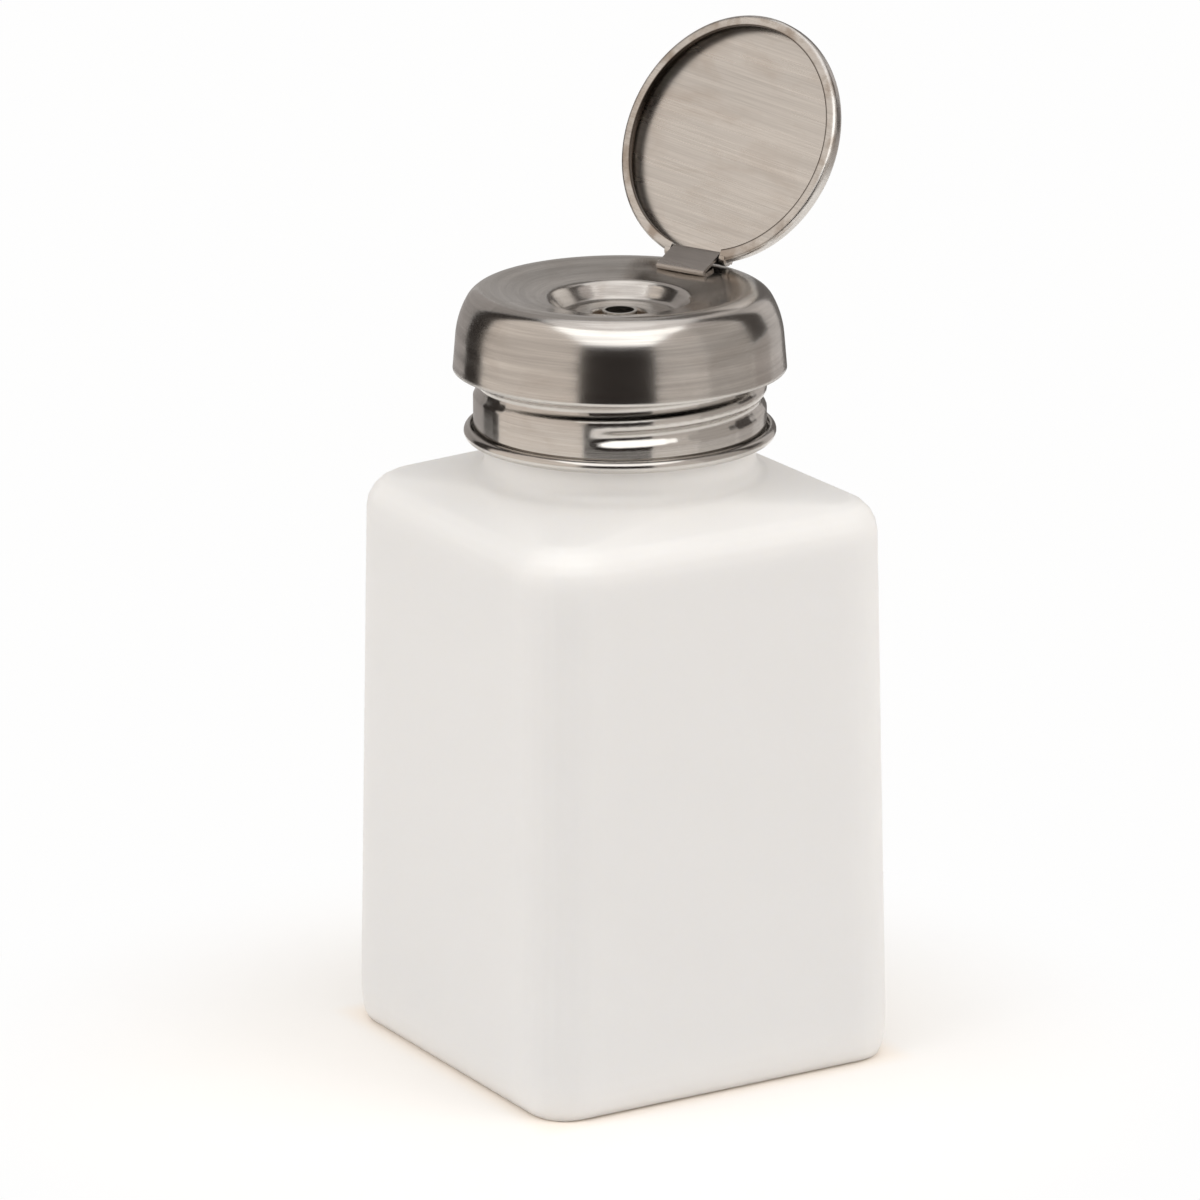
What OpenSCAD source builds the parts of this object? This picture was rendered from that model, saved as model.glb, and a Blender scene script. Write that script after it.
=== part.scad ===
// Square dispensing bottle with a press-dish pump and a flip lid, millimetres, Z up.
// The origin is the centre of the bottle's base. The lid is modelled open.

/* [Bottle] */
// Width across the flats at the base
body_w = 53.3; // [48:0.1:60]
// Width across the flats at the shoulder
body_w_top = 50.8; // [47:0.1:56]
// Height of the shoulder
shoulder_h = 72.85; // [66:0.05:90]
// Radius of the upright corners
corner_r = 8; // [6.5:0.5:11]
// Width of the rounding at the base
base_round_w = 2.2; // [1.5:0.1:4]
// Height of the rounding at the base
base_round_h = 6; // [2:0.5:8]
// Radius of the corners at the base itself
base_corner_r = 3.6; // [3:0.1:6]
// Radius of the shoulder's edge
shoulder_r = 4.4; // [2.5:0.1:5]
// Wall of the blown body
bottle_wall = 1.1; // [0.8:0.1:1.6]
// Depth of the hollow under the base
base_hollow = 1.2; // [0.6:0.1:2]
// Width of the band that the bottle rests on
base_band = 5; // [4:0.5:8]
// Rise of the roof from the shoulder to the neck's foot
roof_rise = 1.7; // [0.8:0.1:3]

/* [Neck] */
// Radius of the neck between the threads
neck_r = 17; // [16:0.1:17.4]
// Wall of the neck
neck_wall = 1.7; // [1.3:0.1:2.2]
// Height of the lip above the shoulder
neck_h = 14; // [13:0.1:17]
// Radius of the fillet at the neck's foot
neck_fillet = 2; // [1:0.25:3]
// Pitch of the screw thread
pitch = 3.175; // [3.1:0.025:3.4]
// Depth of the neck's thread
thread_depth = 0.65; // [0.5:0.05:0.75]
// Width of the thread's crest
thread_crest = 0.6; // [0.4:0.05:0.7]
// Length of the neck's thread in degrees
thread_span = 420; // [300:10:440]

/* [Collar] */
// Sheet of the collar
collar_sheet = 0.4; // [0.3:0.05:0.5]
// Height of the collar over all
collar_h = 10.5; // [10:0.1:11.5]
// Radius of the hole in the collar's top
collar_hole_r = 12.2; // [9:0.1:14]
// Radius of the collar's upper corner
collar_corner_r = 1.2; // [0.6:0.1:1.6]
// Free radius inside the curled lower edge
curl_r = 0.4; // [0.25:0.05:0.6]
// Clearance between the thread's crest and the collar's wall
collar_gap = 0.25; // [0.15:0.05:0.4]
// Depth of the rolled groove
groove_depth = 0.65; // [0.4:0.05:0.7]
// Width of the rolled groove at its mouth
groove_w = 2.9; // [2.4:0.05:3]
// Length of the rolled groove in degrees
groove_span = 460; // [400:10:470]
// Depth of the groove's lower end below the collar's top
groove_drop = 6.4; // [6:0.1:6.8]
// Place of the groove's lower end round the neck
groove_angle = -133; // [-180:1:180]
// Clearance between the two threads' flanks
thread_gap = 0.12; // [0.08:0.01:0.2]

/* [Dome] */
// Sheet of the dome
dome_sheet = 0.5; // [0.3:0.05:0.6]
// Radius of the skirt's lower edge
skirt_r = 20.8; // [20.4:0.1:23]
// Length of the straight skirt
skirt_len = 4.15; // [3:0.05:5]
// Flare of the skirt
skirt_flare = 5; // [0:0.5:8]
// Radius of the side's curve
side_r = 10.8; // [8:0.1:14]
// Turn of the side's curve
side_turn = 24.4; // [20:0.2:30]
// Radius of the crest's curve
crest_bend = 3.2; // [2.4:0.1:4]
// Slope of the dish
dish_slope = 11.7; // [8:0.1:14]
// Radius at which the dish meets the well
well_r = 9.3; // [8.2:0.1:10]
// Slope of the well's wall
well_slope = 48; // [40:1:60]
// Bend at the well's rim
well_bend = 1.2; // [0.8:0.1:1.6]
// Bend at the well's foot
foot_bend = 1; // [0.6:0.1:1.4]
// Depth of the well's floor below the dish's edge
well_depth = 2.05; // [1.6:0.05:2.6]
// Radius of the drain hole round the nozzle
drain_r = 3.5; // [3:0.1:4.2]
// Height of the floor's underside above the collar
head_lift = 4.6; // [4.5:0.1:6]

/* [Pump] */
// Stroke of the head
stroke = 4; // [3:0.1:4.2]
// Sheet of the washer on the neck's lip
gasket_t = 1; // [0.6:0.1:1.4]
// Flange of the pump's cylinder
flange_t = 1.4; // [1:0.1:2]
// Margin of the washer and the flange inside the collar's wall
flange_margin = 0.9; // [0.8:0.1:1.4]
// Bore of the cylinder, as a radius
bore_r = 5.6; // [5.2:0.1:6.2]
// Wall of the cylinder
cylinder_wall = 1.4; // [1:0.1:1.8]
// Length of the bore below the guide's flange
bore_len = 22.6; // [21.5:0.1:26]
// Radius of the counterbore that takes the guide's flange
guide_flange_r = 6.5; // [6.3:0.1:7]
// Depth of the counterbore
guide_drop = 3.5; // [3:0.1:5]
// Thickness of the guide's flange
guide_flange_t = 1; // [0.8:0.1:1.5]
// Outer radius of the stem tube
stem_r = 2.2; // [2:0.05:2.4]
// Wall of the stem tube
stem_wall = 0.4; // [0.3:0.05:0.5]
// Height of the nozzle's lip above the well's floor
nozzle_rise = 0.45; // [0.2:0.05:1]
// Radius of the hub's flange under the floor
hub_flange_r = 6.2; // [5:0.1:6.6]
// Thickness of the hub's flange
hub_flange_t = 1.2; // [1:0.1:1.4]
// Radius of the hub's barrel
hub_r = 3.6; // [3.2:0.1:4.5]
// Length of the hub's barrel
hub_len = 2.2; // [1.6:0.1:2.4]
// Length of the piston
piston_len = 6; // [5:0.1:6.6]
// Height of the web under the outlet valve
piston_web = 0.6; // [0.5:0.05:0.8]
// Radius of the outlet ball
outlet_ball_r = 1.5; // [1.3:0.05:1.55]
// Radius of the inlet ball
inlet_ball_r = 1.8; // [1.6:0.05:1.95]
// Lift of both balls
ball_lift = 0.8; // [0.5:0.1:1]
// Depth of the inlet ball's chamber
chamber_h = 4.2; // [4.1:0.1:5]
// Radius of the inlet ball's chamber
chamber_r = 2.25; // [2.1:0.05:2.4]
// Thickness of the disc over the inlet ball
retainer_t = 0.6; // [0.4:0.1:0.9]
// Radius of the cylinder's foot
foot_r = 4.2; // [4:0.1:5]
// Outer radius of the dip tube
tube_r = 2.6; // [2.3:0.05:2.8]
// Wall of the dip tube
tube_wall = 0.9; // [0.6:0.05:1.1]
// Depth of the dip tube's socket
socket_len = 7.4; // [6:0.1:10]
// Gap between the dip tube and the bottle's floor
tube_gap = 2.5; // [1.5:0.1:6]
// Wire of the return spring, as a radius
wire_r = 0.3; // [0.25:0.01:0.35]
// Mean radius of the return spring
spring_r = 4.4; // [4:0.1:4.6]
// Working turns of the return spring
spring_turns = 4; // [3:0.5:6]

/* [Hinge and lid] */
// Place of the hinge round the head, from the bottle's front face
head_turn = 21; // [0:1:90]
// Distance of the hinge pin from the axis
pin_reach = 16; // [15.4:0.1:16.4]
// Height of the hinge pin above the crest
pin_rise = 1; // [0.9:0.05:1.4]
// Radius of the hinge pin
pin_r = 0.35; // [0.25:0.05:0.4]
// Sheet of the hinge bracket
bracket_sheet = 0.4; // [0.3:0.05:0.45]
// Width of the hinge bracket
bracket_w = 7.4; // [6:0.1:9]
// Distance of the bracket's front fold from the axis
bracket_reach = 12.65; // [12:0.05:13]
// Outer radius of the front fold
fold_r = 0.45; // [0.45:0.05:0.6]
// Length of the leaf that is welded to the dish
leaf_len = 1.7; // [1:0.1:2]
// Wrap of the curl round the pin
curl_wrap = 265; // [220:5:280]
// Outer radius of the lid
lid_r = 16.1; // [15.8:0.05:16.3]
// Distance from the hinge pin to the lid's centre
lid_arm = 15.2; // [15:0.05:15.4]
// Depth of the lid over all
lid_h = 2.1; // [2:0.05:2.6]
// Sheet of the lid
lid_sheet = 0.4; // [0.3:0.05:0.45]
// Width of the lid's turned-in rim
rim_w = 1.4; // [1:0.05:2]
// Outer radius of the rim's fold
rim_bend = 0.5; // [0.45:0.05:0.6]
// Outer radius of the lid's top edge
lid_edge_r = 1; // [0.8:0.05:1.2]
// Height of the closed lid's rim above the crest
lid_seat = 0.2; // [0.1:0.05:0.3]
// Angle that the lid stands open
lid_open = 116; // [90:0.5:120]
// Thickness of the lid's ears
ear_t = 0.85; // [0.6:0.05:1.2]
// Radius of the lid's ears round the pin
ear_r = 0.85; // [0.7:0.05:0.9]

/* [Fits] */
// Radial clearance of what turns or slides
run_gap = 0.05; // [0.03:0.01:0.08]
// Radial clearance of what is pressed together
press_gap = 0.02; // [0.01:0.01:0.03]
// Clearance between hinge parts side by side
side_gap = 0.15; // [0.1:0.05:0.25]

/* [Hidden] */
$fn = 96;
steps_per_turn = 72;
steel = "silver";
white_plastic = "whitesmoke";
// Overlap that joins two shapes of one piece
weld = 0.1;
// Start of the groove's wave outside the sheet's face
groove_lap = 0.04;
// Rise of a ball above its seat, so that the two faces do not cross
seat_gap = 0.03;

// Heights on the axis, from the neck's lip upward
lip_z = shoulder_h + neck_h;
flange_z = lip_z + gasket_t;
flange_top = flange_z + flange_t;
collar_top = flange_top + collar_sheet;
floor_under = collar_top + head_lift;
floor_top = floor_under + dome_sheet;

// Thread and groove
thread_r = neck_r + thread_depth;
collar_r = thread_r + collar_gap + collar_sheet;
thread_over_groove = groove_w / 360 * acos(2 * collar_gap / groove_depth - 1) + thread_crest / 2
    + thread_gap;
groove_z = collar_top - groove_drop;
flange_r = collar_r - collar_sheet - flange_margin;

// Cylinder and valves, from the counterbore downward
guide_seat = flange_top - guide_drop;
guide_top = guide_seat + guide_flange_t;
shelf_z = guide_seat - bore_len;
seat_hole_r = chamber_r - 1.2;
chamber_z = shelf_z - chamber_h;
cone_h = chamber_r - seat_hole_r;
inlet_ball_z = chamber_z - seat_hole_r + inlet_ball_r * sqrt(2) + seat_gap;
web_t = 1;
tube_top = chamber_z - web_t;
retainer_top = shelf_z + retainer_t;
hub_bottom = floor_under - hub_flange_t - hub_len;
guide_recess = max(0, guide_top + 0.2 - (hub_bottom - stroke));
spring_len = 9.8;
piston_bottom = retainer_top + spring_len;
piston_top = piston_bottom + piston_len;
stem_bore = stem_r - stem_wall;
outlet_hole_r = stem_bore - 0.9;
stem_bottom = piston_bottom + piston_web + stem_bore - outlet_hole_r;
outlet_ball_z = piston_bottom + piston_web - outlet_hole_r + outlet_ball_r * sqrt(2) + seat_gap;
nozzle_top = floor_top + nozzle_rise;
seal_t = 1.2;

function dir(a) = [cos(a), sin(a)];

// A sheet's path is a list of steps: [length, 0, 0] runs straight, and [0, radius, turn] bends,
// to the left where the turn is positive.
function step_end(s, p, h) = s[1] == 0
    ? p + s[0] * dir(h)
    : p + s[1] * sign(s[2]) * (dir(h + 90) - dir(h + 90 + s[2]));
function path_states(steps, p, h, i = 0) = i == len(steps)
    ? [[p, h]]
    : concat([[p, h]], path_states(steps, step_end(steps[i], p, h), h + steps[i][2], i + 1));

// Places along the path, with each bend split into short chords
function bend_parts(s) = s[1] == 0 ? 1 : ceil(abs(s[2]) / (s[1] > 2 ? 4 : s[1] > 0.9 ? 10 : 16));
function sheet_face(steps, start, heading) =
    let (states = path_states(steps, start, heading))
    concat([states[0]], [for (i = [0:len(steps) - 1]) let (s = steps[i], n = bend_parts(s))
        for (k = [1:n]) s[1] == 0
            ? states[i + 1]
            : [step_end([0, s[1], s[2] * k / n], states[i][0], states[i][1]),
                states[i][1] + s[2] * k / n]]);

// The section of a bent sheet; its face follows the path and its thickness lies on one side,
// 1 for the left and -1 for the right.
module sheet_section(steps, start, heading, t, side) {
    face = sheet_face(steps, start, heading);
    back = [for (i = [len(face) - 1:-1:0]) face[i][0] + side * t * dir(face[i][1] + 90)];
    polygon(concat([for (f = face) f[0]], back));
}

// A bar that follows a helix. Each ring is a list of [radius, height] points, turned by its angle.
module helix_bar(rings, angles) {
    m = len(rings[0]);
    n = len(rings);
    points = [for (i = [0:n - 1]) for (p = rings[i])
        [p[0] * cos(angles[i]), p[0] * sin(angles[i]), p[1]]];
    sides = [for (i = [0:n - 2]) for (k = [0:m - 1])
        [i * m + k, i * m + (k + 1) % m, (i + 1) * m + (k + 1) % m, (i + 1) * m + k]];
    first = [[for (k = [m - 1:-1:0]) k]];
    last = [[for (k = [0:m - 1]) (n - 1) * m + k]];
    polyhedron(points, concat(sides, first, last), convexity = 10);
}

// 0 at both ends of a span and 1 between, with a run-out of the given length
function run_out(a, span, length) = sin(90 * min(1, a / length, (span - a) / length));

// The rolled groove's section about its helix: a smooth wave into the sheet from radius r_face,
// closed at radius r_close; it starts a little outside the face, so that it crosses it cleanly.
function groove_ring(r_face, r_close, share, z) =
    let (n = 12)
    concat(
        [[r_close, z - groove_w / 2], [r_close, z + groove_w / 2]],
        [for (k = [n:-1:0]) let (y = 2 * k / n - 1)
            [r_face + groove_lap - share * (groove_depth + groove_lap) * (1 + cos(180 * y)) / 2,
                z + y * groove_w / 2]]);

module groove_bar(r_face, r_close) {
    count = ceil(groove_span / 360 * steps_per_turn);
    turns = [for (i = [0:count]) i * groove_span / count];
    helix_bar(
        [for (a = turns) groove_ring(r_face, r_close, run_out(a, groove_span, 10),
            groove_z + pitch * a / 360)],
        [for (a = turns) groove_angle + a]);
}

// The bottle: a blown body with soft edges, its neck and the neck's thread

// Four thin discs at the corners of a square of width w, which reach its sides
module corner_discs(w, r, z) {
    for (x = [-1, 1]) for (y = [-1, 1])
        translate([x * (w / 2 - r), y * (w / 2 - r), z]) cylinder(r = r, h = 0.01, $fn = 32);
}

function width_at(z) = body_w + (body_w_top - body_w) * z / shoulder_h;

// The body's outline as levels, set inward by the wall for the inside
module blown_body(inset, foot_r) {
    levels = 5;
    top = shoulder_h - inset;
    hull() {
        for (i = [0:levels]) {
            t = 90 * i / levels;
            side = base_round_w * (1 - sin(t));
            z = inset + base_round_h * (1 - cos(t));
            corner_discs(width_at(z) - 2 * (inset + side),
                base_corner_r + (corner_r - base_corner_r) * sin(t) - inset, z);
            edge = shoulder_r * (1 - sin(t));
            z_edge = top - 0.01 - shoulder_r * (1 - cos(t));
            corner_discs(width_at(z_edge) - 2 * (inset + edge), corner_r - inset - edge, z_edge);
        }
        translate([0, 0, top + roof_rise - 0.01]) cylinder(r = foot_r, h = 0.01);
    }
}

module neck_thread() {
    count = ceil(thread_span / 360 * steps_per_turn);
    turns = [for (i = [0:count]) i * thread_span / count];
    below = thread_span - 120;
    root = neck_r - 0.4;
    flank = thread_crest / 2 + (thread_depth + 0.4) * 0.48;
    helix_bar(
        [for (a = turns)
            let (z = groove_z + thread_over_groove + pitch * (a - below) / 360,
                top = root + 0.2 + (thread_r - root - 0.2) * run_out(a, thread_span, 24))
            [[root, z - flank], [top, z - thread_crest / 2],
                [top, z + thread_crest / 2], [root, z + flank]]],
        [for (a = turns) groove_angle + a - below]);
}

module bottle() {
    foot_z = shoulder_h + roof_rise;
    bore = neck_r - neck_wall;
    color(white_plastic) difference() {
        union() {
            blown_body(0, neck_r + neck_fillet);
            translate([0, 0, foot_z - bottle_wall]) cylinder(r = neck_r, h = lip_z - foot_z + bottle_wall);
            rotate_extrude() difference() {
                translate([bore + weld, foot_z - weld])
                    square([neck_r + neck_fillet - bore - weld, neck_fillet + weld]);
                translate([neck_r + neck_fillet, foot_z + neck_fillet]) circle(r = neck_fillet);
            }
            neck_thread();
        }
        difference() {
            blown_body(bottle_wall, bore);
            base_recess(bottle_wall);
        }
        translate([0, 0, foot_z - 2 * bottle_wall]) cylinder(r = bore, h = neck_h + 2 * bottle_wall);
        base_recess();
    }
}

// The shallow hollow that leaves a resting band under the base, grown by the wall for the inside
module base_recess(grow = 0) {
    reach = body_w / 2 - base_round_w - base_band - corner_r / 2 + grow;
    hull() for (x = [-1, 1]) for (y = [-1, 1]) translate([x * reach, y * reach, -weld])
        cylinder(r1 = corner_r / 2 + weld, r2 = corner_r / 2 - 0.4, h = base_hollow + weld + grow, $fn = 32);
}

// The collar: one drawn cap with a curled edge and a rolled thread

module collar() {
    wall_len = collar_h - collar_corner_r - curl_r - collar_sheet;
    steps = [
        [collar_r - collar_corner_r - collar_hole_r, 0, 0],
        [0, collar_corner_r, -90],
        [wall_len, 0, 0],
        [0, curl_r, 270]];
    color(steel) difference() {
        union() {
            rotate_extrude()
                sheet_section(steps, [collar_hole_r, collar_top], 0, collar_sheet, -1);
            groove_bar(collar_r - collar_sheet, collar_r - collar_sheet / 2);
        }
        groove_bar(collar_r, collar_r + 2 * groove_lap);
    }
}

module neck_gasket() {
    color("gainsboro") translate([0, 0, lip_z]) difference() {
        cylinder(r = flange_r, h = gasket_t);
        translate([0, 0, -1]) cylinder(r = neck_r - neck_wall + weld, h = gasket_t + 2);
    }
}

// The pump's cylinder: flange, counterbore, bore, ball chamber and socket for the dip tube

module pump_cylinder() {
    outer = bore_r + cylinder_wall;
    head_outer = guide_flange_r + cylinder_wall;
    foot_z = tube_top - socket_len;
    color(white_plastic) difference() {
        union() {
            translate([0, 0, flange_z]) cylinder(r = flange_r, h = flange_t);
            translate([0, 0, guide_seat - cylinder_wall])
                cylinder(r = head_outer, h = flange_z - guide_seat + cylinder_wall + weld);
            translate([0, 0, shelf_z - cylinder_wall])
                cylinder(r = outer, h = guide_seat - shelf_z + cylinder_wall);
            translate([0, 0, foot_z]) cylinder(r = foot_r, h = shelf_z - foot_z);
        }
        translate([0, 0, guide_seat]) cylinder(r = guide_flange_r, h = guide_drop + 1);
        translate([0, 0, shelf_z]) cylinder(r = bore_r, h = bore_len + 1);
        translate([0, 0, chamber_z + cone_h]) cylinder(r = chamber_r, h = chamber_h);
        translate([0, 0, chamber_z]) cylinder(r1 = seat_hole_r, r2 = chamber_r, h = cone_h);
        translate([0, 0, tube_top - 1]) cylinder(r = seat_hole_r, h = web_t + 2);
        translate([0, 0, foot_z - 1]) cylinder(r = tube_r + press_gap, h = socket_len + 1);
    }
}

// The guide that closes the cylinder and stops the piston at the top of its stroke

module stem_guide() {
    barrel_bottom = piston_top + run_gap;
    color("gainsboro") difference() {
        union() {
            translate([0, 0, guide_seat]) cylinder(r = guide_flange_r - run_gap, h = guide_flange_t);
            translate([0, 0, barrel_bottom])
                cylinder(r = bore_r - press_gap, h = guide_seat - barrel_bottom + weld);
        }
        translate([0, 0, barrel_bottom - 1]) cylinder(r = stem_r + run_gap, h = 20);
        translate([0, 0, guide_top - guide_recess]) cylinder(r = hub_r + 0.4, h = guide_recess + 1);
        translate([0, 0, guide_seat - 1 - seal_t]) cylinder(r = stem_r + 0.9, h = seal_t);
    }
}

module stem_seal() {
    color("dimgray") translate([0, 0, guide_seat - 1 - seal_t + press_gap]) difference() {
        cylinder(r = stem_r + 0.9 - press_gap, h = seal_t - 2 * press_gap);
        translate([0, 0, -1]) cylinder(r = stem_r + run_gap / 2, h = seal_t + 2);
    }
}

// The pierced disc that keeps the inlet ball in its chamber and carries the spring

module ball_retainer() {
    color(steel) translate([0, 0, shelf_z]) difference() {
        cylinder(r = bore_r - run_gap, h = retainer_t);
        for (a = [0, 120, 240])
            rotate(a) translate([chamber_r - 0.75, 0, -1]) cylinder(r = 0.6, h = retainer_t + 2);
    }
}

module inlet_ball() {
    color(steel) translate([0, 0, inlet_ball_z]) sphere(r = inlet_ball_r);
}

module outlet_ball() {
    color(steel) translate([0, 0, outlet_ball_z]) sphere(r = outlet_ball_r);
}

// The return spring: closed end coils and open working turns, swept as one wire

function spring_z(a, turns) =
    let (closed = 1, rise = spring_len - 2 * wire_r - 4 * wire_r * closed, t = a / 360)
    t < closed ? 2 * wire_r * t
    : t > turns - closed ? 2 * wire_r * closed + rise + 2 * wire_r * (t - turns + closed)
    : 2 * wire_r * closed + rise * (t - closed) / (turns - 2 * closed);

module return_spring() {
    turns = spring_turns + 2;
    count = turns * 18;
    sides = 6;
    angles = [for (i = [0:count]) i * 360 * turns / count];
    color(steel) helix_bar(
        [for (a = angles) [for (k = [0:sides - 1])
            [spring_r + wire_r * cos(360 * k / sides),
                retainer_top + wire_r + spring_z(a, turns) + wire_r * sin(360 * k / sides)]]],
        angles);
}

module dip_tube() {
    bottom = bottle_wall + base_hollow + tube_gap;
    color(white_plastic) difference() {
        translate([0, 0, bottom]) cylinder(r = tube_r, h = tube_top - bottom);
        translate([0, 0, bottom - 1]) cylinder(r = tube_r - tube_wall, h = tube_top - bottom + 2);
        translate([0, 0, bottom]) rotate([0, 30, 0]) translate([-10, -10, -10]) cube([20, 20, 10]);
    }
}

// The piston body grips the stem's foot, carries the cup and seats the outlet ball

module piston() {
    waist = bore_r - 1.3;
    color(white_plastic) difference() {
        union() {
            translate([0, 0, piston_bottom]) cylinder(r = bore_r - 2 * run_gap, h = 1);
            translate([0, 0, piston_bottom]) cylinder(r = waist, h = piston_len);
        }
        translate([0, 0, piston_bottom - 1]) cylinder(r = outlet_hole_r, h = piston_web + 2);
        translate([0, 0, piston_bottom + piston_web])
            cylinder(r1 = outlet_hole_r, r2 = stem_bore, h = stem_bore - outlet_hole_r);
        translate([0, 0, stem_bottom]) cylinder(r = stem_r + press_gap, h = piston_len);
    }
}

// The soft cup: a sleeve on the piston with a lip that wipes the bore

module piston_cup() {
    waist = bore_r - 1.3;
    bottom = piston_bottom + 1;
    top = piston_top - 0.2;
    color("dimgray") rotate_extrude() polygon([
        [waist + press_gap, bottom],
        [bore_r - run_gap, bottom],
        [bore_r - 0.4, bottom + 1],
        [bore_r - 0.4, top - 1],
        [bore_r - run_gap, top],
        [waist + press_gap, top]]);
}

// The stem: a steel tube whose upper end is the nozzle; a crimp holds the outlet ball

module stem() {
    crimp = 0.4;
    crimp_z = outlet_ball_z + outlet_ball_r + ball_lift + crimp;
    color(steel) difference() {
        translate([0, 0, stem_bottom]) cylinder(r = stem_r, h = nozzle_top - stem_bottom);
        difference() {
            translate([0, 0, stem_bottom - 1]) cylinder(r = stem_bore, h = nozzle_top - stem_bottom + 2);
            rotate_extrude() translate([stem_bore + 0.1, crimp_z]) circle(r = crimp + 0.3, $fn = 48);
        }
    }
}

// The hub clinched under the dish's floor, which carries the dome on the stem

module stem_hub() {
    color("dimgray") difference() {
        union() {
            translate([0, 0, floor_under - hub_flange_t]) cylinder(r = hub_flange_r, h = hub_flange_t);
            translate([0, 0, hub_bottom]) cylinder(r = hub_r, h = hub_len + weld);
        }
        translate([0, 0, hub_bottom - 1]) cylinder(r = stem_r + press_gap, h = hub_len + hub_flange_t + 2);
        translate([0, 0, floor_under - hub_flange_t / 2]) difference() {
            cylinder(r = drain_r + 0.2, h = hub_flange_t);
            translate([0, 0, -1]) cylinder(r = stem_r + 0.5, h = hub_flange_t + 2);
        }
    }
}

// The dome: skirt, crest, dish and well drawn from one sheet

crest_turn = 90 - skirt_flare - side_turn + dish_slope;
dome_rise = [[skirt_len, 0, 0], [0, side_r, side_turn], [0, crest_bend, crest_turn]];
dome_start = path_states(dome_rise, [skirt_r, 0], 90 + skirt_flare);
dish_start = dome_start[3][0];
dish_len = (dish_start[0] - well_r) / cos(dish_slope);
well_turn = well_slope - dish_slope;
rim_drop = well_bend * (cos(dish_slope) - cos(well_slope));
foot_drop = foot_bend * (1 - cos(well_slope));
wall_len = (well_depth - rim_drop - foot_drop) / sin(well_slope);
dome_well = [[dish_len, 0, 0], [0, well_bend, well_turn], [wall_len, 0, 0], [0, foot_bend, -well_slope]];
floor_start = path_states(concat(dome_rise, dome_well), [skirt_r, 0], 90 + skirt_flare)[7][0];
skirt_z = floor_top - floor_start[1];
crest_z = skirt_z + dome_start[2][0][1] + crest_bend * (1 - sin(skirt_flare + side_turn));

module dome() {
    steps = concat(dome_rise, dome_well, [[floor_start[0] - drain_r, 0, 0]]);
    color(steel) rotate_extrude()
        sheet_section(steps, [skirt_r, skirt_z], 90 + skirt_flare, dome_sheet, 1);
}

// The height of the dish's face at a distance r from the axis
function dish_z(r) = skirt_z + dish_start[1] - (dish_start[0] - r) * tan(dish_slope);

// The hinge: a bracket folded from one strip, a pin and the lid's two ears.
// Their sections are drawn in the plane of the axis and the hinge, and head_turn sets them round.

pin_at = [pin_reach, crest_z + pin_rise];
knuckle_r = pin_r + run_gap + bracket_sheet;
ear_gap = bracket_w / 2 + side_gap;

module across(w) {
    rotate([0, 0, head_turn]) rotate([90, 0, 0]) translate([0, 0, -w / 2]) linear_extrude(w) children();
}

module hinge_bracket() {
    fold_at = [bracket_reach, dish_z(bracket_reach) + fold_r / cos(dish_slope)];
    span = norm(pin_at - fold_at);
    rise = atan2(pin_at[1] - fold_at[1], pin_at[0] - fold_at[0]);
    heading = rise + asin((knuckle_r - fold_r) / span);
    cover_len = sqrt(pow(span, 2) - pow(knuckle_r - fold_r, 2));
    start = fold_at + fold_r * dir(dish_slope - 90) + leaf_len * dir(dish_slope);
    steps = [
        [leaf_len, 0, 0],
        [0, fold_r, heading - 180 - dish_slope],
        [cover_len, 0, 0],
        [0, knuckle_r, -curl_wrap]];
    color(steel) difference() {
        across(bracket_w) sheet_section(steps, start, 180 + dish_slope, bracket_sheet, -1);
        rotate_extrude() polygon([
            [well_r, dish_z(well_r)], [dish_start[0], dish_z(dish_start[0])],
            [dish_start[0], skirt_z], [well_r, skirt_z]]);
    }
}

module hinge_pin() {
    color(steel) across(2 * (ear_gap + ear_t)) translate(pin_at) circle(r = pin_r, $fn = 48);
}

// The lid in its closed place, with its centre on X and its rim's underside at z = 0
module lid_shell() {
    steps = [
        [rim_w - rim_bend, 0, 0],
        [0, rim_bend, 90],
        [lid_h - rim_bend - lid_edge_r, 0, 0],
        [0, lid_edge_r, 90],
        [lid_r - lid_edge_r, 0, 0]];
    rotate_extrude() sheet_section(steps, [lid_r - rim_w, 0], 0, lid_sheet, 1);
}

module lid() {
    pin_z = pin_rise - lid_seat;
    gap_w = 2 * ear_gap;
    reach = lid_r - lid_arm + 1;
    color(steel) rotate([0, 0, head_turn]) translate([pin_at[0], 0, pin_at[1]])
        rotate([0, lid_open, 0]) difference() {
            union() {
                translate([-lid_arm, 0, -pin_z]) lid_shell();
                for (side = [-1, 1]) translate([0, side * (ear_gap + ear_t / 2), 0]) {
                    rotate([90, 0, 0]) cylinder(r = ear_r, h = ear_t, center = true, $fn = 48);
                    translate([-ear_r, -ear_t / 2, 0])
                        cube([ear_r + pin_r, ear_t, lid_h - pin_z - lid_sheet / 2]);
                }
            }
            translate([-0.1, -gap_w / 2, -pin_z - 1]) cube([reach, gap_w, lid_h + 2]);
            translate([-lid_r, -gap_w / 2, -pin_z - 1])
                cube([lid_r, gap_w, 1 + lid_h - lid_sheet]);
            rotate([90, 0, 0]) cylinder(r = pin_r + run_gap,
                h = gap_w + 2 * ear_t + 2 * run_gap, center = true, $fn = 48);
        }
}

bottle();
collar();
neck_gasket();
pump_cylinder();
stem_guide();
stem_seal();
ball_retainer();
inlet_ball();
return_spring();
dip_tube();
piston();
piston_cup();
outlet_ball();
stem();
stem_hub();
dome();
hinge_bracket();
hinge_pin();
lid();
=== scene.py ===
import math

import bpy
from mathutils import Matrix, Vector


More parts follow.
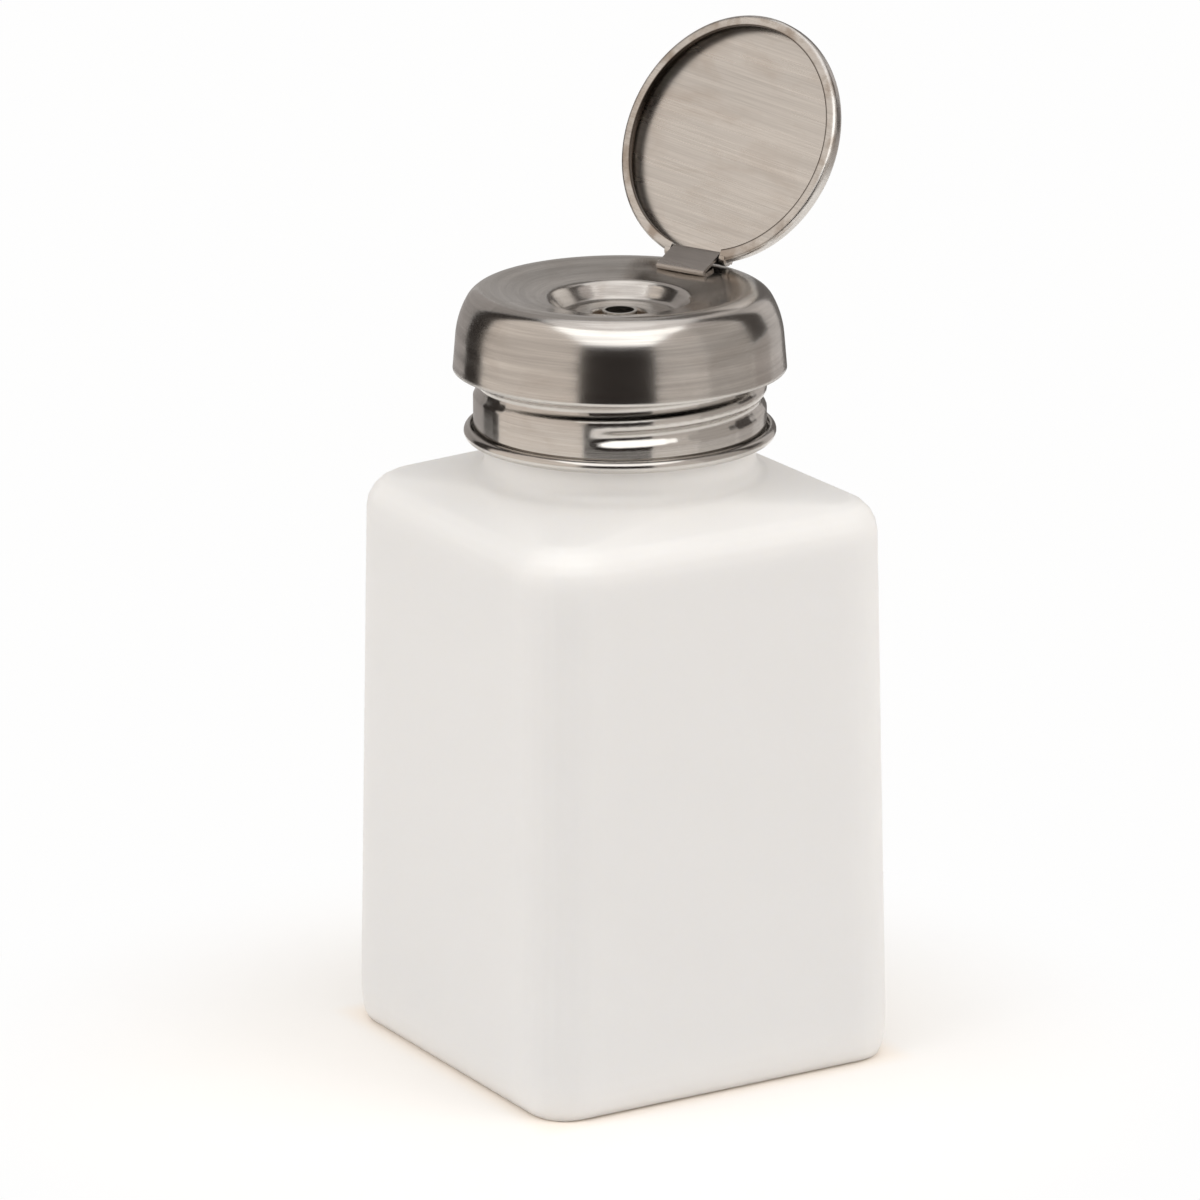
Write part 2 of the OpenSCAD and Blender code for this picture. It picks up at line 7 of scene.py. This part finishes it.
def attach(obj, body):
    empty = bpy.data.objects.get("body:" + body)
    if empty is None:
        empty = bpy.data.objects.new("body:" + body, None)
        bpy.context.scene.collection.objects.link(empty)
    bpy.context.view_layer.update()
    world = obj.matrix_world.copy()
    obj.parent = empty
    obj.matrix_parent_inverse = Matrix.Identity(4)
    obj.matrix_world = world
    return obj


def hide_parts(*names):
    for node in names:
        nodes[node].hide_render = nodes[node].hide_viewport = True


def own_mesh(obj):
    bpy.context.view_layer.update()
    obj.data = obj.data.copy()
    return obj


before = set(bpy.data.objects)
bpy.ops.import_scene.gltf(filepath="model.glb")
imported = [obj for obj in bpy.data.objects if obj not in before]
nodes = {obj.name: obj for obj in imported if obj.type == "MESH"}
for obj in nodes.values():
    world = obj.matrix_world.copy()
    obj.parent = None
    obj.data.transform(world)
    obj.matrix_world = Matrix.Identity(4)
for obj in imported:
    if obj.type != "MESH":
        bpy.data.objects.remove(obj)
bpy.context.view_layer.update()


# The camera, and the white room that it stands in.
# It stands off the bottle's front left corner and looks down on the bottle from 16 degrees.
VIEW_AZIMUTH = math.radians(-30.77)
VIEW_HEIGHT = math.radians(16.17)
VIEW_ROLL = math.radians(0.20)
VIEW_DISTANCE = 0.8542
VIEW_TARGET = Vector((-0.00220, 0.00132, 0.05768))
SENSOR_WIDTH = 36.0
FOCAL_LENGTH = 204.07
ROOM_WARMTH = (1.0, 0.985, 0.965, 1)
ROOM_STRENGTH = 0.74


def direction(azimuth, height):
    """The way from the bottle to a point in the studio. Both angles are in radians."""
    return Vector((
        math.sin(azimuth) * math.cos(height),
        -math.cos(azimuth) * math.cos(height),
        math.sin(height)))


view_back = direction(VIEW_AZIMUTH, VIEW_HEIGHT)
level_right = Vector((math.cos(VIEW_AZIMUTH), math.sin(VIEW_AZIMUTH), 0))
level_up = view_back.cross(level_right)
view_right = level_right * math.cos(VIEW_ROLL) - level_up * math.sin(VIEW_ROLL)
view_up = level_up * math.cos(VIEW_ROLL) + level_right * math.sin(VIEW_ROLL)

camera_data = bpy.data.cameras.new("camera")
camera_data.sensor_width = SENSOR_WIDTH
camera_data.lens = FOCAL_LENGTH
camera_data.clip_start = 0.02
camera_data.clip_end = 30.0
camera = bpy.data.objects.new("camera", camera_data)
bpy.context.scene.collection.objects.link(camera)
view_turn = Matrix((view_right, view_up, view_back)).transposed().to_4x4()
camera.matrix_world = Matrix.Translation(VIEW_TARGET + view_back * VIEW_DISTANCE) @ view_turn
bpy.context.scene.camera = camera
bpy.context.scene.view_settings.view_transform = "Standard"


def put(tree, kind, inputs=None, **settings):
    """Adds a node, sets its options, and links or sets its inputs."""
    node = tree.nodes.new(kind)
    for name, value in settings.items():
        setattr(node, name, value)
    for name, value in (inputs or {}).items():
        if isinstance(value, bpy.types.NodeSocket):
            tree.links.new(value, node.inputs[name])
        else:
            node.inputs[name].default_value = value
    return node


def maths(tree, operation, *values):
    """Adds a Math node and gives back its result."""
    return put(tree, "ShaderNodeMath", dict(enumerate(values)), operation=operation).outputs[0]


room = bpy.data.worlds.new("white_room")
bpy.context.scene.world = room
room.use_nodes = True
tree = room.node_tree
tree.nodes.clear()
ray = put(tree, "ShaderNodeLightPath")
seen = maths(tree, "MAXIMUM", ray.outputs["Is Camera Ray"], ray.outputs["Is Glossy Ray"])
seen = maths(tree, "MAXIMUM", seen, ray.outputs["Is Transmission Ray"])
room_light = put(tree, "ShaderNodeBackground", {"Color": ROOM_WARMTH, "Strength": ROOM_STRENGTH})
room_white = put(tree, "ShaderNodeBackground", {"Color": (1, 1, 1, 1), "Strength": 1.0})
room_mix = put(tree, "ShaderNodeMixShader", {0: seen, 1: room_light.outputs[0], 2: room_white.outputs[0]})
put(tree, "ShaderNodeOutputWorld", {"Surface": room_mix.outputs[0]})


# The floor: a pale studio sheet with a faint grain.
# It carries a painted warm shade round the bottle's base, and turns pure white further off.
FLOOR_REACH = 6.0
FLOOR_PALE = (0.865, 0.850, 0.835, 1)
FLOOR_PALER = (0.885, 0.872, 0.860, 1)
# Painted shade: the warm colour painted on the floor round the bottle's base.
FLOOR_PAINTED_SHADE = (0.88, 0.82, 0.76, 1)
FLOOR_WHITE = (0.992, 0.990, 0.988, 1)
BASE_CORNER_ROUND = 0.004
PAINTED_SHADE_INSIDE = 0.0245
PAINTED_SHADE_OUTSIDE = 0.0285
SHADOW_OFFSET = (0.010, 0.004, 0.0)
WHITE_STARTS = 0.034
WHITE_ENDS = 0.085


def new_material(name):
    material = bpy.data.materials.new(name)
    material.use_nodes = True
    material.node_tree.nodes.clear()
    return material, material.node_tree


def mesh_piece(name, points, faces, material, smooth=True):
    mesh = bpy.data.meshes.new(name)
    mesh.from_pydata([tuple(p) for p in points], [], faces)
    mesh.update()
    if smooth:
        mesh.shade_smooth()
    mesh.materials.append(material)
    piece = bpy.data.objects.new(name, mesh)
    bpy.context.scene.collection.objects.link(piece)
    return piece


def vector_maths(tree, operation, *values):
    """Adds a Vector Math node. A length or a dot product comes back as a number."""
    node = put(tree, "ShaderNodeVectorMath", dict(enumerate(values)), operation=operation)
    return node.outputs["Value" if operation in ("LENGTH", "DOT_PRODUCT") else "Vector"]


def mapped(tree, value, from_low, from_high, to_low=0.0, to_high=1.0, kind="LINEAR"):
    """Maps one range of values onto another, and holds the ends."""
    return put(tree, "ShaderNodeMapRange", {
        "Value": value, "From Min": from_low, "From Max": from_high,
        "To Min": to_low, "To Max": to_high}, interpolation_type=kind).outputs[0]


def blend(tree, mask, first, second):
    """Mixes two colours by a mask."""
    return put(tree, "ShaderNodeMix", {"Factor": mask, "A": first, "B": second},
               data_type="RGBA").outputs["Result"]


def noise(tree, place, scale, detail, roughness=0.5, distortion=0.0):
    """Adds a Noise Texture and gives back its grey value."""
    return put(tree, "ShaderNodeTexNoise", {
        "Vector": place, "Scale": scale, "Detail": detail,
        "Roughness": roughness, "Distortion": distortion}).outputs["Fac"]


floor_material, tree = new_material("floor_white")
place = put(tree, "ShaderNodeTexCoord").outputs["Object"]
shade = blend(tree, noise(tree, place, 40.0, 4.0), FLOOR_PALE, FLOOR_PALER)
parts = put(tree, "ShaderNodeSeparateXYZ", {0: place})
from_middle = [maths(tree, "ABSOLUTE", parts.outputs[axis]) for axis in ("X", "Y")]
square = maths(tree, "SMOOTH_MAX", *from_middle, BASE_CORNER_ROUND)
# Painted shade: a mask that is 1 just round the bottle's base and falls to 0 further out.
under = mapped(tree, square, PAINTED_SHADE_INSIDE, PAINTED_SHADE_OUTSIDE, 1.0, 0.0, kind="SMOOTHSTEP")
floor_skin = put(tree, "ShaderNodeBsdfDiffuse", {"Color": blend(tree, under, shade, FLOOR_PAINTED_SHADE)})
away = vector_maths(tree, "LENGTH", vector_maths(tree, "ADD", place, SHADOW_OFFSET))
far = mapped(tree, away, WHITE_STARTS, WHITE_ENDS, kind="SMOOTHSTEP")
ray = put(tree, "ShaderNodeLightPath")
paper = maths(tree, "MULTIPLY", far, ray.outputs["Is Camera Ray"])
floor_white = put(tree, "ShaderNodeEmission", {"Color": FLOOR_WHITE, "Strength": 1.0})
floor_mix = put(tree, "ShaderNodeMixShader", {0: paper, 1: floor_skin.outputs[0], 2: floor_white.outputs[0]})
put(tree, "ShaderNodeOutputMaterial", {"Surface": floor_mix.outputs[0]})
floor_corners = [(FLOOR_REACH * x, FLOOR_REACH * y, 0) for x, y in ((-1, -1), (1, -1), (1, 1), (-1, 1))]
floor = mesh_piece("floor", floor_corners, [(0, 1, 2, 3)], floor_material, smooth=False)


# The lamps: three broad soft boxes, at the left, at the right and overhead.
# They light the plastic and the floor. Metal sees the boards of the next section instead.
LAMP_AIM = Vector((0, 0, 0.06))


def soft_box(name, azimuth, height, distance, size, watts, colour):
    """A square lamp that faces the bottle. Its angles are degrees, from the camera and the floor."""
    lamp_data = bpy.data.lights.new(name, "AREA")
    lamp_data.shape = "SQUARE"
    lamp_data.size = size
    lamp_data.energy = watts
    lamp_data.color = colour
    lamp = bpy.data.objects.new(name, lamp_data)
    bpy.context.scene.collection.objects.link(lamp)
    away = direction(VIEW_AZIMUTH + math.radians(azimuth), math.radians(height))
    lamp.location = LAMP_AIM + away * distance
    lamp.rotation_mode = "QUATERNION"
    lamp.rotation_quaternion = away.to_track_quat("Z", "Y")
    lamp.visible_glossy = False


soft_box("left_box", -60, 35, distance=1.4, size=1.0, watts=5.0, colour=(1.0, 0.985, 0.96))
soft_box("right_box", 70, 30, distance=1.4, size=1.0, watts=5.3, colour=(1.0, 0.98, 0.955))
soft_box("top_box", 10, 80, distance=1.3, size=1.2, watts=5.0, colour=(1.0, 0.99, 0.975))


# The reflecting boards: what polished metal sees of the studio. They stand round the bottle's head,
# and only reflections show them. Angles are degrees from the camera, positive to its right.
BOARD_CENTRE = Vector((0, 0, 0.092))
BOARD_STEP = 5


def board(name, left, right, low, high, colour, strength, distance=0.30, widen=0.0):
    """A glowing part of a globe, from left to right and from low to high, wider at its top."""
    material, tree = new_material(name)
    glow = put(tree, "ShaderNodeEmission", {"Color": (*colour, 1), "Strength": strength})
    put(tree, "ShaderNodeOutputMaterial", {"Surface": glow.outputs[0]})
    columns = max(2, int(abs(right - left) / BOARD_STEP))
    rows = max(2, int((high - low) / BOARD_STEP))
    points = []
    for column in range(columns + 1):
        for row in range(rows + 1):
            spread = widen * row / rows
            azimuth = left - spread + (right - left + 2 * spread) * column / columns
            height = low + (high - low) * row / rows
            away = direction(VIEW_AZIMUTH + math.radians(azimuth), math.radians(height))
            points.append(BOARD_CENTRE + away * distance)
    faces = []
    for column in range(columns):
        for row in range(rows):
            corner = column * (rows + 1) + row
            faces.append((corner, corner + 1, corner + rows + 2, corner + rows + 1))
    piece = mesh_piece(name, points, faces, material)
    piece.visible_camera = False
    piece.visible_diffuse = False
    piece.visible_transmission = False
    piece.visible_volume_scatter = False
    piece.visible_shadow = False


board("board_front", -28, 24, -17, 27, (1.0, 0.84, 0.76), 0.033)
board("board_front_edge", -27, 22, 25.5, 29, (1.0, 0.84, 0.76), 0.005, distance=0.29)
board("board_left", -107, -28.5, -17, 58, (1.0, 0.905, 0.82), 0.83)
board("board_right", 24.5, 60, -17, 48, (1.0, 0.925, 0.86), 0.66)
board("board_right_far", 60.5, 102, -17, 48, (1.0, 0.925, 0.86), 0.50)
board("board_top", -26, 24, 29.5, 62, (1.0, 0.985, 0.965), 1.9, distance=0.28, widen=56)
board("board_over", -180, 180, 62.5, 74, (1.0, 0.96, 0.93), 1.05)
board("board_crown", -180, 180, 74.5, 89, (1.0, 0.97, 0.95), 1.30)
board("board_left_gap", -132, -107.5, -17, 60, (1.0, 0.86, 0.78), 0.035)
board("board_left_rear", -165, -132.5, -17, 60, (1.0, 0.93, 0.89), 0.40)
board("board_right_gap", 102.5, 126, 2, 60, (1.0, 0.88, 0.81), 0.08)
board("board_right_foot", 102.5, 126, -17, 1.5, (1.0, 0.91, 0.85), 0.45)
board("board_right_rear", 126.5, 150, -17, 60, (1.0, 0.94, 0.90), 0.62)
board("board_left_high", -107, -28.5, 58.5, 89, (1.0, 0.90, 0.84), 0.38, distance=0.31)
board("board_right_high", 24.5, 102, 48.5, 89, (1.0, 0.91, 0.86), 0.55, distance=0.31)
board("board_back_left", 172, 194.5, -17, 60, (1.0, 0.95, 0.91), 0.42)
board("board_back_right", 150.5, 171.5, -17, 60, (1.0, 0.92, 0.87), 0.16)


# The bottle: one blown piece of natural polyethylene, milky, with soft moulded edges.
# Light goes a little way in, so thin edges look paler than the flats.
MILKY = (0.900, 0.858, 0.808, 1)
MILKY_LOW = (0.870, 0.838, 0.800, 1)
MILKY_CLOUD = (0.905, 0.872, 0.830, 1)
LOW_PART_BOTTOM = 0.005
LOW_PART_TOP = 0.060
CLOUD_AMOUNT = 0.35
EDGE_ROUNDING = 0.0012
GRAIN_IN_WAVES = 0.12

bottle_material, tree = new_material("natural_polyethylene")
place = put(tree, "ShaderNodeTexCoord").outputs["Object"]
parts = put(tree, "ShaderNodeSeparateXYZ", {0: place})
# The plastic's colour turns darker and less warm towards the bottom.
low_part = mapped(tree, parts.outputs["Z"], LOW_PART_BOTTOM, LOW_PART_TOP, 1.0, 0.0)
cloudy = mapped(tree, noise(tree, place, 22.0, 3.0), 0.3, 0.7, 0.0, CLOUD_AMOUNT)
body_colour = blend(tree, cloudy, blend(tree, low_part, MILKY, MILKY_LOW), MILKY_CLOUD)
fine = noise(tree, place, 2600.0, 2.0)
skin_height = maths(tree, "MULTIPLY_ADD", fine, GRAIN_IN_WAVES, noise(tree, place, 90.0, 2.0))
rounded = put(tree, "ShaderNodeBevel", {"Radius": EDGE_ROUNDING}, samples=8)
skin = put(tree, "ShaderNodeBump", {
    "Strength": 0.25, "Distance": 0.0002, "Height": skin_height, "Normal": rounded.outputs[0]})
bottle_skin = put(tree, "ShaderNodeBsdfPrincipled", {
    "Base Color": body_colour, "Roughness": mapped(tree, fine, 0.0, 1.0, 0.36, 0.46), "IOR": 1.5,
    "Subsurface Weight": 0.65, "Subsurface Radius": (1.0, 0.95, 0.85), "Subsurface Scale": 0.006,
    "Normal": skin.outputs[0]})
put(tree, "ShaderNodeOutputMaterial", {"Surface": bottle_skin.outputs[0]})


def finish_node(name, material):
    """Gives a solid of the frame its finish."""
    solid = nodes[name]
    solid.data.materials.clear()
    solid.data.materials.append(material)


finish_node("bottle", bottle_material)


# The collar and the dome: drawn stainless sheet, brushed round the axis and then buffed.
# The marks run round the axis, so reflections smear up and down.
def round_the_axis(tree, place):
    """Coordinates that unroll a turned piece: angle, distance from the axis, and height."""
    parts = put(tree, "ShaderNodeSeparateXYZ", {0: place})
    angle = maths(tree, "ARCTAN2", parts.outputs["Y"], parts.outputs["X"])
    flat = put(tree, "ShaderNodeCombineXYZ", {0: parts.outputs["X"], 1: parts.outputs["Y"]})
    return angle, vector_maths(tree, "LENGTH", flat.outputs[0]), parts.outputs["Z"]


PATCH_STRETCH = (0.35, 0.12, 0.12)
STAIN_STRETCH = (1.2, 0.035, 0.035)

brush_group = bpy.data.node_groups.new("brush_marks", "ShaderNodeTree")
for label in ("Along", "Across", "Depth", "Length", "Fineness"):
    brush_group.interface.new_socket(label, in_out="INPUT", socket_type="NodeSocketFloat")
for label in ("Marks", "Patches", "Stains"):
    brush_group.interface.new_socket(label, in_out="OUTPUT", socket_type="NodeSocketFloat")
given = put(brush_group, "NodeGroupInput").outputs
stretched = put(brush_group, "ShaderNodeCombineXYZ", {
    0: maths(brush_group, "MULTIPLY", given["Along"], given["Length"]),
    1: maths(brush_group, "MULTIPLY", given["Across"], given["Fineness"]),
    2: maths(brush_group, "MULTIPLY", given["Depth"], given["Fineness"])}).outputs[0]
patch_place = vector_maths(brush_group, "MULTIPLY", stretched, PATCH_STRETCH)
stain_place = vector_maths(brush_group, "MULTIPLY", stretched, STAIN_STRETCH)
put(brush_group, "NodeGroupOutput", {
    "Marks": noise(brush_group, stretched, 1.0, 5.0, roughness=0.65),
    "Patches": noise(brush_group, patch_place, 1.0, 3.0, roughness=0.55),
    "Stains": noise(brush_group, stain_place, 1.0, 4.0, roughness=0.6, distortion=0.6)})


def steel(name, coordinates, colour, stain_colour, shine, length, fineness, depth, stain_amount,
          smear=0.0, soften=0.0, contrast=0.12, worn=0.10, finish=None):
    """Brushed stainless: pale and dark brush lines, duller patches and faint brown stains."""
    material, tree = new_material(name)
    place = put(tree, "ShaderNodeTexCoord").outputs["Object"]
    along, across, deep = coordinates(tree, place)
    brush = put(tree, "ShaderNodeGroup", node_tree=brush_group)
    for label, value in (("Along", along), ("Across", across), ("Depth", deep)):
        tree.links.new(value, brush.inputs[label])
    brush.inputs["Length"].default_value = length
    brush.inputs["Fineness"].default_value = fineness
    line_tone = mapped(tree, brush.outputs["Marks"], 0.3, 0.7, 1.0 - contrast, 1.0 + contrast / 2)
    worn_tone = mapped(tree, brush.outputs["Patches"], 0.3, 0.7, 1.0 + worn / 2, 1.0 - worn)
    both = maths(tree, "MULTIPLY", line_tone, worn_tone)
    lined = put(tree, "ShaderNodeVectorMath", {0: colour, "Scale": both}, operation="SCALE")
    stained = mapped(tree, brush.outputs["Stains"], 0.48, 0.74, 0.0, stain_amount)
    tone = blend(tree, stained, lined.outputs[0], (*stain_colour, 1))
    if finish:
        tone = finish(tree, place, tone)
    dull = mapped(tree, brush.outputs["Patches"], 0.3, 0.7, *shine)
    relief = put(tree, "ShaderNodeBump", {
        "Strength": 1.0, "Distance": depth, "Height": brush.outputs["Marks"]})
    if soften:
        softened = put(tree, "ShaderNodeBevel", {"Radius": soften}, samples=8)
        tree.links.new(softened.outputs[0], relief.inputs["Normal"])
    skin = put(tree, "ShaderNodeBsdfPrincipled", {
        "Base Color": tone, "Metallic": 1.0, "Roughness": dull, "Normal": relief.outputs[0]})
    if smear:
        skin.inputs["Anisotropic"].default_value = smear
        turned = put(tree, "ShaderNodeTangent", direction_type="RADIAL", axis="Z")
        tree.links.new(turned.outputs[0], skin.inputs["Tangent"])
    put(tree, "ShaderNodeOutputMaterial", {"Surface": skin.outputs[0]})
    return material


polished_steel = steel(
    "polished_steel", round_the_axis, colour=(0.64, 0.615, 0.585), stain_colour=(0.36, 0.31, 0.265),
    shine=(0.13, 0.20), length=1.6, fineness=5200.0, depth=0.0000018, stain_amount=0.30,
    smear=0.45, soften=0.0007, worn=0.22)
finish_node("dome", polished_steel)
collar_steel = steel(
    "collar_steel", round_the_axis, colour=(0.63, 0.605, 0.575), stain_colour=(0.36, 0.31, 0.265),
    shine=(0.10, 0.17), length=1.4, fineness=5200.0, depth=0.0000012, stain_amount=0.25,
    smear=0.35, soften=0.0006)
finish_node("collar", collar_steel)


# The lid: one drawn pan of stainless sheet, brushed in straight lines across the hinge.
# Its turned-in rim is stained where fingers and solvent have been, and the pan's floor under the rim gets
# painted shade.
HEAD_TURN = math.radians(21.0)
LID_OPEN = math.radians(116.0)
BRUSH_TILT = math.radians(8.0)
HINGE_PLACE = Vector((0.014937, 0.005734, 0.099182))
LID_ARM = 0.0152
LID_RADIUS = 0.0161
LID_WALL = 0.0002
RIM_INNER_RADIUS = LID_RADIUS - 0.0014
RIM_LEVEL = -0.0002
BACK_LEVEL = 0.0011
# Painted shade: the dark colour painted on the pan's floor just inside the turned-in rim.
PAN_SHADE = (0.06, 0.045, 0.035, 1)
PAN_SHADE_STARTS = 0.0001
PAN_SHADE_FULL = 0.0006
RIM_STAIN = (0.36, 0.30, 0.25, 1)
RIM_STAIN_AMOUNT = 0.75
RIM_EDGE = (0.07, 0.055, 0.045, 1)
RIM_EDGE_ENDS = 0.00022
RIM_EDGE_FULL = 0.00006

lid_across = Vector((-math.sin(HEAD_TURN), math.cos(HEAD_TURN), 0))
out_from_axis = Vector((math.cos(HEAD_TURN), math.sin(HEAD_TURN), 0))
lid_up = out_from_axis * -math.cos(LID_OPEN) + Vector((0, 0, math.sin(LID_OPEN)))
lid_normal = lid_across.cross(lid_up)
lid_middle = HINGE_PLACE + lid_up * LID_ARM
brush_along = lid_across * math.cos(BRUSH_TILT) + lid_up * math.sin(BRUSH_TILT)
brush_across = lid_up * math.cos(BRUSH_TILT) - lid_across * math.sin(BRUSH_TILT)


def along_the_lid(tree, place):
    """Distances along and across the brush lines, and out of the lid."""
    return [vector_maths(tree, "DOT_PRODUCT", place, way) for way in (brush_along, brush_across, lid_normal)]


def shade_and_stain_the_rim(tree, place, tone):
    """Paints shade on the pan's floor under the turned-in rim, stains the rim and draws its edge."""
    from_middle = vector_maths(tree, "SUBTRACT", place, lid_middle)
    sideways, upwards, outwards = [
        vector_maths(tree, "DOT_PRODUCT", from_middle, way) for way in (lid_across, lid_up, lid_normal)]
    flat = put(tree, "ShaderNodeCombineXYZ", {0: sideways, 1: upwards})
    radius = vector_maths(tree, "LENGTH", flat.outputs[0])
    on_rim = maths(tree, "LESS_THAN", outwards, RIM_LEVEL)
    # Painted shade on the pan's floor under the rim.
    shaded = mapped(tree, radius, RIM_INNER_RADIUS + PAN_SHADE_STARTS, RIM_INNER_RADIUS + PAN_SHADE_FULL)
    for limit in (maths(tree, "SUBTRACT", 1.0, on_rim),
                  maths(tree, "LESS_THAN", radius, LID_RADIUS - LID_WALL),
                  maths(tree, "LESS_THAN", outwards, BACK_LEVEL)):
        shaded = maths(tree, "MULTIPLY", shaded, limit)
    tone = blend(tree, shaded, tone, PAN_SHADE)
    spots = mapped(tree, noise(tree, from_middle, 330.0, 3.0), 0.46, 0.66, 0.0, RIM_STAIN_AMOUNT)
    tone = blend(tree, maths(tree, "MULTIPLY", spots, on_rim), tone, RIM_STAIN)
    edge = mapped(tree, radius, RIM_INNER_RADIUS + RIM_EDGE_ENDS, RIM_INNER_RADIUS + RIM_EDGE_FULL)
    return blend(tree, maths(tree, "MULTIPLY", edge, on_rim), tone, RIM_EDGE)


brushed_steel = steel(
    "brushed_steel", along_the_lid, colour=(0.685, 0.665, 0.640), stain_colour=(0.44, 0.37, 0.31),
    shine=(0.24, 0.32), length=75.0, fineness=5200.0, depth=0.0000012, stain_amount=0.40,
    contrast=0.15, worn=0.06, finish=shade_and_stain_the_rim)
finish_node("lid", brushed_steel)


# The hinge: a bracket folded from one strip of stainless sheet and welded to the dish.
# It curls round a plain drawn pin, which the lid's two ears turn with.
plain_steel = steel(
    "plain_steel", along_the_lid, colour=(0.46, 0.43, 0.405), stain_colour=(0.30, 0.26, 0.23),
    shine=(0.26, 0.36), length=90.0, fineness=2400.0, depth=0.0000025, stain_amount=0.35)
finish_node("hinge_bracket", plain_steel)
pin_steel = steel(
    "pin_steel", along_the_lid, colour=(0.30, 0.27, 0.25), stain_colour=(0.20, 0.17, 0.15),
    shine=(0.30, 0.40), length=90.0, fineness=2400.0, depth=0.0000010, stain_amount=0.35)
finish_node("hinge_pin", pin_steel)


# The steel of the pump: a turned stem whose upper end is the nozzle, and two valve balls.
# A pierced disc keeps the lower ball in its chamber.
turned_steel = steel(
    "turned_steel", round_the_axis, colour=(0.62, 0.595, 0.56), stain_colour=(0.36, 0.31, 0.265),
    shine=(0.16, 0.24), length=1.2, fineness=6000.0, depth=0.0000015, stain_amount=0.25)
for name in ("stem", "ball_retainer", "inlet_ball", "outlet_ball"):
    finish_node(name, turned_steel)


# The return spring: round wire with a closed coil at each end. The real one is squeezed as the pump goes
# down; this one keeps its length.
# It stands for the frame's own spring, which is stiff.
SPRING_FOOT = 0.06375
SPRING_LENGTH = 0.0098
SPRING_MEAN_RADIUS = 0.0044
SPRING_WIRE_RADIUS = 0.0003
SPRING_TURNS = 6
STEPS_PER_TURN = 48
WIRE_SIDES = 10


def spring_height(turn):
    """The wire's rise after a number of turns: closed coils at the ends, open ones between."""
    closed_rise = 2 * SPRING_WIRE_RADIUS
    open_rise = SPRING_LENGTH - 3 * closed_rise
    open_turns = SPRING_TURNS - 2
    middle = min(max(turn - 1, 0), open_turns) / open_turns * open_rise
    return min(turn, 1) * closed_rise + middle + max(turn - 1 - open_turns, 0) * closed_rise


points = []
faces = []
for ring in range(SPRING_TURNS * STEPS_PER_TURN + 1):
    turn = ring / STEPS_PER_TURN
    around = 2 * math.pi * turn
    wire_height = SPRING_FOOT + SPRING_WIRE_RADIUS + spring_height(turn)
    for side in range(WIRE_SIDES):
        tilt = 2 * math.pi * side / WIRE_SIDES
        radius = SPRING_MEAN_RADIUS + SPRING_WIRE_RADIUS * math.cos(tilt)
        points.append((radius * math.cos(around), radius * math.sin(around),
                       wire_height + SPRING_WIRE_RADIUS * math.sin(tilt)))
        if ring:
            new = ring * WIRE_SIDES
            old = new - WIRE_SIDES
            neighbour = (side + 1) % WIRE_SIDES
            faces.append((old + side, new + side, new + neighbour, old + neighbour))
faces.append(tuple(range(WIRE_SIDES)))
faces.append(tuple(range(len(points) - 1, len(points) - WIRE_SIDES - 1, -1)))
spring = mesh_piece("wound_spring", points, faces, turned_steel)
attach(spring, "insert")
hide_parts("return_spring")
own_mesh(spring)


# The plastics of the pump: white moulded cylinder and piston, natural guide, brownish hub.
# The dip tube is extruded and pressed into the cylinder's foot.
def moulded(name, colour, other, roughness, depth=0.00002):
    """Plastic or rubber from a mould, a little cloudy, with a fine grain."""
    material, tree = new_material(name)
    place = put(tree, "ShaderNodeTexCoord").outputs["Object"]
    tone = blend(tree, noise(tree, place, 160.0, 3.0), (*colour, 1), (*other, 1))
    fine = noise(tree, place, 3500.0, 2.0)
    dull = mapped(tree, fine, 0.0, 1.0, roughness - 0.06, roughness + 0.06)
    relief = put(tree, "ShaderNodeBump", {"Strength": 0.4, "Distance": depth, "Height": fine})
    skin = put(tree, "ShaderNodeBsdfPrincipled", {
        "Base Color": tone, "Roughness": dull, "Normal": relief.outputs[0]})
    put(tree, "ShaderNodeOutputMaterial", {"Surface": skin.outputs[0]})
    return material


white_plastic = moulded("white_plastic", (0.82, 0.82, 0.80), (0.78, 0.78, 0.76), roughness=0.42)
for name in ("pump_cylinder", "piston"):
    finish_node(name, white_plastic)
guide_plastic = moulded("guide_plastic", (0.66, 0.66, 0.62), (0.61, 0.61, 0.57), roughness=0.45)
finish_node("stem_guide", guide_plastic)
hub_plastic = moulded("hub_plastic", (0.30, 0.23, 0.17), (0.24, 0.18, 0.13), roughness=0.40)
finish_node("stem_hub", hub_plastic)
tube_plastic = moulded("tube_plastic", (0.80, 0.80, 0.77), (0.76, 0.76, 0.73), roughness=0.35)
finish_node("dip_tube", tube_plastic)


# The soft seals: a pale foamed washer on the neck's lip,
# and black rubber in the pump, as a ring round the stem and a cup on the piston.
seal_foam = moulded("seal_foam", (0.72, 0.71, 0.67), (0.66, 0.65, 0.61), roughness=0.75, depth=0.00008)
finish_node("neck_gasket", seal_foam)
seal_rubber = moulded("seal_rubber", (0.028, 0.028, 0.028), (0.022, 0.022, 0.022), roughness=0.62)
for name in ("stem_seal", "piston_cup"):
    finish_node(name, seal_rubber)
